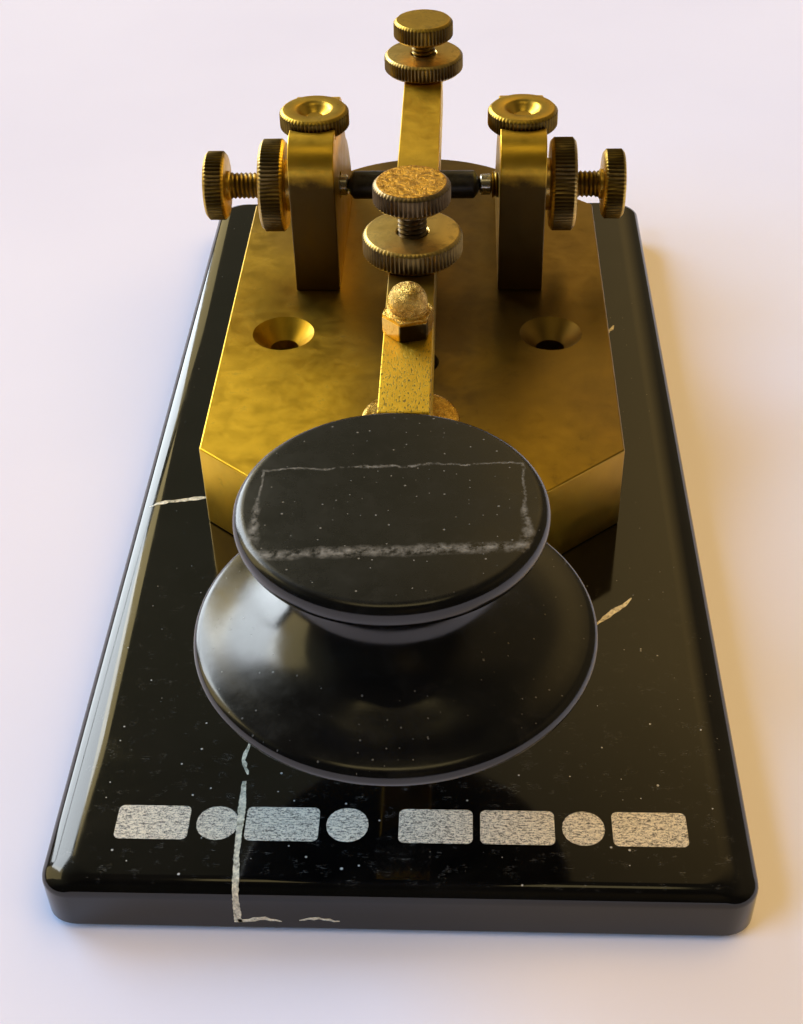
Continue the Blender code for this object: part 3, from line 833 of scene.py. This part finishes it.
# ---------------------------------------------------------------- the posts
UPRIGHT = (90, 0, 90)  # turns a side view, drawn in Y and Z, to face along X
back = [(58.0, 21.05), (57.8, 22.6), (57.0, 25.0), (55.5, 28.0), (53.6, 30.9)]
back += [(51.3, 33.6), (49.0, 35.3), (47.6, 36.9), (47.0, 38.5)]
post_side = [(24.4, 21.05)] + smooth_line(back, 4) + arc((41.3, 40.1), 5.0, 10, 90, 12)
post_side += arc((29.5, 40.1), 5.0, 90, 180, 14)
clamp_hole = [(5.65, 50.0), (5.65, 43.3), (BORE, 43.3), (BORE, 35.1)]
clamp_dish = [(0.0, 2.0), (1.0, 2.0), (1.15, 1.85), (1.45, 1.75)]
clamp_dish += [(1.9, 2.1), (2.25, 2.6), (2.6, 2.95), (3.0, 3.1)]
cup = [(0.0, 4.3), (0.85, 4.3), (0.85, 1.85), (1.3, 1.85), (1.6, 1.6), (1.6, 0.25)]
cup += [(1.45, 0.05), (1.3, 0.0), (1.22, 0.05), (0.2, 1.2), (0.0, 1.22)]
SCREW_HEAD, CLAMP_SEAT, CUP_FACE, AXLE_SHIFT = 5.3, 43.35, 10.35, -0.85
# Each side's sign, direction, lock nut's place and collar on the nut
PIVOT_SIDES = {"left": (-1, "-X", 20.85, 1.45), "right": (1, "X", 20.4, 1.0)}

for side, (sign, along, nut_start, collar) in PIVOT_SIDES.items():
    x = sign * POST_X
    cuts = [hole(clamp_hole, (x, PIVOT_Y, 0))]
    cuts.append(hole([(BORE, 8.0), (BORE, -8.0)], (x, PIVOT_Y, PIVOT_Z), "X"))
    for y in POST_SCREWS:
        cuts.append(hole([(BORE, 28.0), (BORE, 20.0)], (x, y, 0)))
    name = f"brass_post_{side}"
    post = extruded(name, post_side, POST_WIDTH, POST_BRASS, (x, 0, 0), UPRIGHT, 0.22, cuts)
    stand_for(post, "base", f"post_{side}", slot="brass")

    # The clamp screw: a knurled head, dished round a small flat
    clamp = Shape().knurled(SCREW_HEAD, 3.1, 0.0, 1.0, clamp_dish, 0.5)
    clamp.thread(THREAD_RADIUS, 0.2, -7.1)
    node = f"clamp_screw_{side}"
    at = (x, PIVOT_Y, CLAMP_SEAT)
    fit(f"clamp_{side}", clamp, CLAMP_BRASS, at, node, node, "brass_dark")

    # The trunnion screw and its cup
    trunnion = Shape().knurled(SCREW_HEAD, 22.4, 19.1, 1.0, [(0.0, 22.3), (4.2, 22.35)], 0.5)
    trunnion.turn([(0.0, 19.4), (2.3, 19.4), (2.3, 18.7), (1.7, 18.3), (0.0, 18.3)], 48)
    trunnion.thread(THREAD_RADIUS, 18.5, 1.9)
    node = f"trunnion_screw_{side}"
    at = (AXLE_SHIFT + sign * CUP_FACE, PIVOT_Y, PIVOT_Z)
    fit(f"trunnion_{side}", trunnion, SCREW_BRASS, at, node, node, "brass_dark", along)
    cup_node = f"pivot_cup_{side}"
    fit(f"cup_{side}", Shape().turn(cup, 64), STEEL, at, node, cup_node, "steel", along)

    # Its lock nut, with a plain collar that stands on the post
    nut = Shape().knurled(7.1, 3.95, 0.0, 2.1, chamfer=0.55)
    plain_collar = [(2.1, 0.05), (3.9, 0.05), (4.0, -0.1), (4.0, -collar + 0.1)]
    nut.turn(plain_collar + [(3.9, -collar), (2.1, -collar)], 72)
    node = f"trunnion_locknut_{side}"
    at = (sign * nut_start, PIVOT_Y, PIVOT_Z)
    fit(f"locknut_{side}", nut, NUT_BRASS, at, node, node, "brass_dark", along)

# ---------------------------------------------------------------- the lever
LEVER_REAR, TOE_TOP, TOE_BOTTOM, TOE_FRONT, TOE_ROUND = 72.6, 30.4, 25.4, -68.5, 0.6
lever_side = [(-33.6, LEVER_TOP), (-40.0, TOE_TOP)]
lever_side += arc((TOE_FRONT + TOE_ROUND, TOE_TOP - TOE_ROUND), TOE_ROUND, 90, 180, 5)
lever_side += [(TOE_FRONT, TOE_BOTTOM), (-38.7, TOE_BOTTOM)]
lever_side += [(-34.7, LEVER_BOTTOM), (LEVER_REAR, LEVER_BOTTOM)]
lever_side += arc((LEVER_REAR - TOE_ROUND, LEVER_TOP - TOE_ROUND), TOE_ROUND, 0, 90, 5)
cuts = [hole([(2.2, 5.0), (2.2, -5.0)], (0, PIVOT_Y, PIVOT_Z), "X")]
cuts.append(hole([(BORE, 34.0), (BORE, 20.0)], (0, KNOB_Y, 0)))
for y in (CONTACT_Y, SPRING_Y, GAP_Y):
    cuts.append(hole([(BORE, 44.0), (BORE, 26.0)], (0, y, 0)))
lever = extruded(
    "brass_lever", lever_side, LEVER_WIDTH, LEVER_BRASS, (0, 0, 0), UPRIGHT, 0.2, cuts
)
stand_for(lever, "lever", "lever", slot="brass")

half = [(0.0, 11.05), (0.2, 11.0), (0.93, 10.2), (1.1, 10.13), (1.3, 10.08)]
half += [(2.05, 9.5), (2.15, 9.3)]
axle = Shape().turn(half + [(r, -z) for r, z in reversed(half)], 64)
at = (AXLE_SHIFT, PIVOT_Y, PIVOT_Z)
fit("pivot_axle", axle, BLACK_STEEL, at, "lever", "axle", "blackened", "X")

# ----------------------------------------------------------------- the knob
knob_top = [(0.0, KNOB_TOP), (7.0, KNOB_TOP), (14.55, KNOB_TOP), (14.85, 48.87)]
knob_top += [(15.2, 48.76), (15.55, 48.5)]
knob_top += [(15.78, 48.1), (15.85, 47.6), (15.8, 47.0), (15.6, 46.5)]
knob_side = [(15.2, 46.1), (14.5, 45.8), (12.4, 44.9), (10.5, 43.5), (9.5, 41.7), (9.3, 39.9)]
knob_side += [(9.9, 38.0), (11.5, 36.2), (14.0, 34.6), (17.0, 33.5), (20.0, 32.85), (20.9, 32.6)]
knob_side += [(21.35, 32.25), (21.55, 31.75), (21.55, 31.3), (21.3, 30.8), (20.6, KNOB_UNDER)]
outer = knob_top + smooth_line(knob_side, 6)
inner = [(BORE, KNOB_UNDER), (BORE, 41.0), (0.0, 41.0)]
knob = make("black_knob", Shape().turn(outer + inner, 192), BAKELITE, angle=40.0)
for vertex in knob.data.vertices:  # its material is drawn in the whole object's frame
    vertex.co.y += KNOB_Y * MM
stand_for(knob, "lever", "knob", slot="bakelite")

# ------------------------------------------- contacts, spring and adjusters
STUD_FOOT, NUT_SEAT = 27.55, 39.05
stud = Shape().turn([(0.0, 44.0), (1.7, 44.0), (1.7, 43.0), (0.0, 43.0)], 48)
stud.thread(THREAD_RADIUS - 0.05, 43.2, STUD_FOOT + 1.5)
foot = [(0.75, 1.6), (1.95, 1.6), (1.95, 0.2), (1.75, 0.0), (0.75, 0.0)]
stud.turn([(r, STUD_FOOT + z) for r, z in foot], 48)
at = (0, CONTACT_Y, 0)
fit("contact_rod", stud, SCREW_BRASS, at, "lever", "contact_stud", "brass_dark")


def acorn_nut():
    """A hexagon with a turned chamfer, a waist and a dome, on one axis."""
    count, corner, flat_turn = 96, 3.38, math.radians(15)
    apothem = corner * math.cos(math.pi / 6)
    levels = [(3.08, 42.0), (3.3, 41.86), (9.0, 41.45)]
    levels += [(9.0, 39.5), (3.3, 39.17), (3.08, NUT_SEAT)]
    points, faces = [], []
    for limit, z in levels:
        for j in range(count):
            angle = TAU * j / count
            part = (angle - flat_turn) % (TAU / 6) - TAU / 12
            r = min(apothem / math.cos(part), limit)
            points.append((r * math.cos(angle), r * math.sin(angle), z))
    for i in range(len(levels) - 1):
        for j in range(count):
            k, a, b = (j + 1) % count, i * count, (i + 1) * count
            faces.append((a + j, b + j, b + k, a + k))
    faces.append(tuple(range(count)))
    faces.append(tuple(len(points) - 1 - j for j in range(count)))
    dome = [(0.0, 45.73)] + [(x, y + 43.22) for x, y in reversed(arc((0, 0), 2.52, 0, 84, 12))]
    dome += [(2.5, 42.7), (2.42, 42.3), (2.6, 42.1), (2.75, 41.9), (0.0, 41.9)]
    return Shape().add(points, faces).turn(dome, count)


fit("acorn_nut", acorn_nut(), ACORN_BRASS, at, "lever", "contact_acorn_nut", "brass")
anvil = [(0.0, 25.28), (0.8, 25.28), (5.9, 25.3), (6.25, 25.25), (6.55, 25.1), (6.7, 24.8)]
anvil += [(6.7, 21.9), (6.55, 21.7), (2.0, 21.65), (2.0, 9.5), (1.8, 9.4), (0.0, 9.4)]
anvil = Shape().turn(anvil, 96)
fit("contact_anvil", anvil, ANVIL_BRASS, at, "base", "fixed_contact", "brass")
tip = [(0.0, 0.7), (0.7, 0.69), (1.2, 0.62), (1.45, 0.45), (1.6, 0.2), (1.6, 0.0), (0.0, 0.0)]
hanging_tip = [(r, -z) for r, z in reversed(tip)]
for name, profile, z, body in (
    ("upper", hanging_tip, 27.5, "lever"),
    ("lower", tip, 25.35, "base"),
):
    at, node = (0, CONTACT_Y, z), f"contact_tip_{name}"
    fit(f"{name}_point", Shape().turn(profile, 64), SILVER, at, body, node, "silver")

spring_screw = Shape().knurled(SCREW_HEAD, SPRING_HEAD, 0.0, 1.0, [(0.0, 3.2), (4.4, 3.2)], 0.55)
spring_neck = [(0.0, 0.3), (2.5, 0.3), (2.5, -0.3), (1.75, -0.9), (1.75, -1.4), (0.0, -1.4)]
spring_tip = [(0.0, -19.5), (1.8, -19.5), (1.8, -20.0), (1.3, -20.0), (1.3, -22.4)]
spring_tip += [(1.0, -22.8), (0.0, -22.8)]
spring_screw.turn(spring_neck, 56)
spring_screw.thread(THREAD_RADIUS, -1.2, -19.7)
spring_screw.turn(spring_tip, 48)
spring_nut = Shape().knurled(6.9, 3.35, 0.0, BORE, [(BORE, 3.15), (2.35, 3.35)], 0.5)

gap_screw = Shape().knurled(5.0, 3.15, 0.0, 1.0, [(0.0, 3.15), (4.1, 3.15)], 0.5)
gap_screw.turn([(0.0, 0.3), (2.4, 0.3), (2.4, -0.2), (1.75, -0.8), (1.75, -1.2), (0.0, -1.2)], 56)
gap_screw.thread(THREAD_RADIUS, -1.0, -22.6)
gap_screw.turn([(0.0, -22.2), (1.7, -22.2), (1.6, -22.9), (0.9, -23.4), (0.0, -23.5)], 48)
gap_nut = Shape().knurled(6.7, 3.0, 0.0, BORE, [(BORE, 2.8), (2.35, 3.0)], 0.5)

for name, shape, look, y, z, node in (
    ("spring_adjuster", spring_screw, SPRING_BRASS, SPRING_Y, 46.6, "spring_screw"),
    ("spring_adjuster_nut", spring_nut, NUT_BRASS, SPRING_Y, NUT_SEAT, "spring_locknut"),
    ("gap_adjuster", gap_screw, SCREW_BRASS, GAP_Y, 44.6, "gap_screw"),
    ("gap_adjuster_nut", gap_nut, NUT_BRASS, GAP_Y, NUT_SEAT, "gap_locknut"),
):
    fit(name, shape, look, (0, y, z), node, node, "brass_dark")


# ------------------------------------------------- CAD nodes that stay shown
def finish_nodes(look, *names):
    for name in names:
        nodes[name].data.materials.clear()
        nodes[name].data.materials.append(look)


finish_nodes(STEEL, "knob_screw", "plate_screw_front", "plate_screw_rear", "return_spring")
for side in ("left", "right"):
    finish_nodes(STEEL, f"post_screw_{side}_front", f"post_screw_{side}_rear")
    finish_nodes(RUBBER, f"pad_front_{side}", f"pad_rear_{side}")
finish_nodes(FIBRE, "contact_bush", "contact_washer")
finish_nodes(SCREW_BRASS, "contact_nut")


# ------------------------------------------------------------------ setting
FLOOR = 20.0  # metres from the middle of the floor to its edges
floor_mesh = bpy.data.meshes.new("paper_sheet")
floor_corners = [(FLOOR * x, FLOOR * y, 0) for x, y in ((-1, -1), (1, -1), (1, 1), (-1, 1))]
floor_mesh.from_pydata(floor_corners, [], [(0, 1, 2, 3)])
floor_mesh.materials.append(PAPER)
floor = linked("paper_sheet", floor_mesh)

ROOM = 1.2  # metres from the object to what lights it


def bearing(azimuth, elevation, distance):
    """A point seen from the object: azimuth from +Y towards +X, in degrees."""
    a, e = math.radians(azimuth), math.radians(elevation)
    towards = (math.sin(a) * math.cos(e), math.cos(a) * math.cos(e), math.sin(e))
    return tuple(distance * v for v in towards)


def light_object(name, kind, at, aim, energy, colour):
    """A lamp that the camera itself never sees."""
    light = bpy.data.lights.new(name, kind)
    light.energy = energy
    light.color = colour
    obj = linked(name, light)
    obj.location = at
    obj.rotation_euler = (Vector(aim) - Vector(at)).to_track_quat("-Z", "Y").to_euler()
    obj.visible_camera = False
    return obj


def soft_sun(name, azimuth, elevation, spread, energy, colour):
    """Even light from a wide patch of room, which leaves no image in the brass."""
    at = bearing(azimuth, elevation, ROOM)
    obj = light_object(name, "SUN", at, (0, 0, 0), energy, colour)
    obj.data.angle = math.radians(spread)
    obj.visible_glossy = False


def mirrored_card(name, at, aim, width, height, watts, colour):
    """Something bright in the room that only the polished surfaces show."""
    obj = light_object(name, "AREA", at, aim, watts, colour)
    obj.data.shape = "RECTANGLE"
    obj.data.size, obj.data.size_y = width, height
    obj.visible_diffuse = False


DAYLIGHT, PANE = (0.335, 0.59, 1.0), (0.86, 0.94, 1.0)
CURTAIN, BOUNCE = (1.0, 0.80, 0.36), (1.0, 0.66, 0.27)
soft_sun("window_daylight", -54, 34, 34, 2.1, DAYLIGHT)
soft_sun("side_daylight", -115, 34, 34, 2.0, DAYLIGHT)
soft_sun("ceiling_bounce", 90, 66, 70, 2.25, BOUNCE)
for name, azimuth, elevation, width, height, watts, tint in (
    ("window_lower_pane", -44, 15.6, 0.56, 0.42, 6.2, PANE),
    ("window_upper_pane", -50, 36.4, 0.56, 0.42, 6.4, PANE),
    ("curtain_lower", -26, 16, 0.17, 0.46, 0.4, CURTAIN),
    ("curtain_upper", -31.5, 39, 0.18, 0.42, 0.75, CURTAIN),
    ("curtain_left", -76, 28, 0.50, 0.9, 2.3, CURTAIN),
):
    at = bearing(azimuth, elevation, ROOM)
    mirrored_card(name, at, (0, 0, 0.02), width, height, watts, tint)
mirrored_card("overhead_card", (0, -0.075, 0.36), (0, -0.075, 0), 0.17, 0.08, 0.06, CURTAIN)


def world_light():
    """A room: a warm wall behind on the right, dimmer elsewhere, dark above and in front."""
    world = bpy.data.worlds.new("room")
    bpy.context.scene.world = world
    world.use_nodes = True
    tree = world.node_tree
    facing = add(tree, "TexCoord").outputs["Generated"]
    x, y, z = (axis_of(tree, facing, letter) for letter in "XYZ")
    colour = mix(tree, band(tree, x, -0.05, 0.17), (0.25, 0.235, 0.145), (1.0, 0.68, 0.25))
    colour = mix(tree, band(tree, x, 0.22, 0.46), colour, (0.20, 0.15, 0.08))
    colour = mix(tree, band(tree, z, 0.15, 0.62), (0.16, 0.125, 0.07), colour)
    colour = mix(tree, band(tree, z, 0.70, 0.86), colour, (0.07, 0.06, 0.04))
    colour = mix(tree, band(tree, y, 0.0, -0.4, 0.0, 0.9), colour, (0.02, 0.018, 0.014))
    seen = add(tree, "LightPath").outputs["Is Camera Ray"]
    colour = mix(tree, seen, colour, (0.79, 0.75, 0.77))
    background = tree.nodes["Background"]
    tree.links.new(colour, background.inputs["Color"])


world_light()
bpy.context.scene.view_settings.view_transform = "Standard"

camera_data = bpy.data.cameras.new("camera")
camera_data.lens, camera_data.sensor_width = 50.60, 36.0
camera_data.shift_x, camera_data.shift_y = 0.0059, 0.0413
camera_data.clip_start = 0.01
camera = linked("camera", camera_data)
bpy.context.scene.camera = camera
right, up, forward = (
    Vector((0.99893, 0.03890, -0.02501)),
    Vector((-0.00674, 0.65740, 0.75351)),
    Vector((-0.04575, 0.75254, -0.65696)),
)
turned = Matrix((right, up, -forward)).transposed().to_4x4()
camera.matrix_world = Matrix.Translation((0.00701, -0.17368, 0.13878)) @ turned
